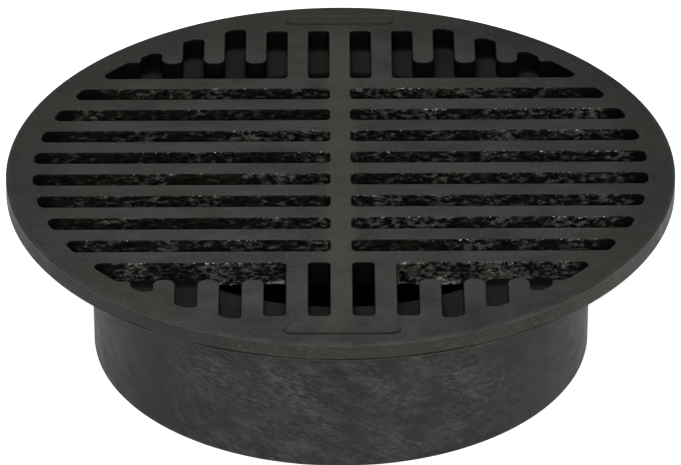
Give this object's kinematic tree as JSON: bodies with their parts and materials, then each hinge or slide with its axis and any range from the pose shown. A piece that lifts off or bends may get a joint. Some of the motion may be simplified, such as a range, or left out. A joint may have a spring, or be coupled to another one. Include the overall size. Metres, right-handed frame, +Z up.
{
  "type": "floor drain grate",
  "caption": "Round flat floor drain grate: a slotted deck with cross bars, comb-shaped end slots and a plain rim, on a short spigot that pushes into a drain pipe.",
  "frame": {"origin": "centre of the spigot's lower edge, on the axis of the grate", "axes": "+Z up towards the slotted deck, X along the cross bars, +Y towards the far comb slots"},
  "size_m": [0.2, 0.2, 0.0584],
  "materials": {
    "deck_plastic": "matt black polyethylene, faintly mottled, with fine scuffs",
    "spigot_plastic": "black polyethylene with pale flow streaks, a little smoother than the deck"
  },
  "bodies": {
    "root": {"outer_rim": "deck_plastic", "centre_spine": "deck_plastic", "cross_bar_left_1": "deck_plastic", "cross_bar_left_2": "deck_plastic", "cross_bar_left_3": "deck_plastic", "cross_bar_left_4": "deck_plastic", "cross_bar_left_5": "deck_plastic", "cross_bar_left_6": "deck_plastic", "cross_bar_left_7": "deck_plastic", "cross_bar_left_8": "deck_plastic", "cross_bar_left_9": "deck_plastic", "cross_bar_right_1": "deck_plastic", "cross_bar_right_2": "deck_plastic", "cross_bar_right_3": "deck_plastic", "cross_bar_right_4": "deck_plastic", "cross_bar_right_5": "deck_plastic", "cross_bar_right_6": "deck_plastic", "cross_bar_right_7": "deck_plastic", "cross_bar_right_8": "deck_plastic", "cross_bar_right_9": "deck_plastic", "column_bar_near_left": "deck_plastic", "column_bar_near_right": "deck_plastic", "column_bar_far_left": "deck_plastic", "column_bar_far_right": "deck_plastic", "tooth_near_left_1": "deck_plastic", "tooth_near_left_2": "deck_plastic", "tooth_near_left_3": "deck_plastic", "tooth_near_right_1": "deck_plastic", "tooth_near_right_2": "deck_plastic", "tooth_near_right_3": "deck_plastic", "tooth_far_left_1": "deck_plastic", "tooth_far_left_2": "deck_plastic", "tooth_far_left_3": "deck_plastic", "tooth_far_right_1": "deck_plastic", "tooth_far_right_2": "deck_plastic", "tooth_far_right_3": "deck_plastic", "slot_floor_ring": "spigot_plastic", "spigot": "spigot_plastic", "maker_pad_near": "deck_plastic", "maker_pad_far": "deck_plastic"}
  },
  "joints": []
}
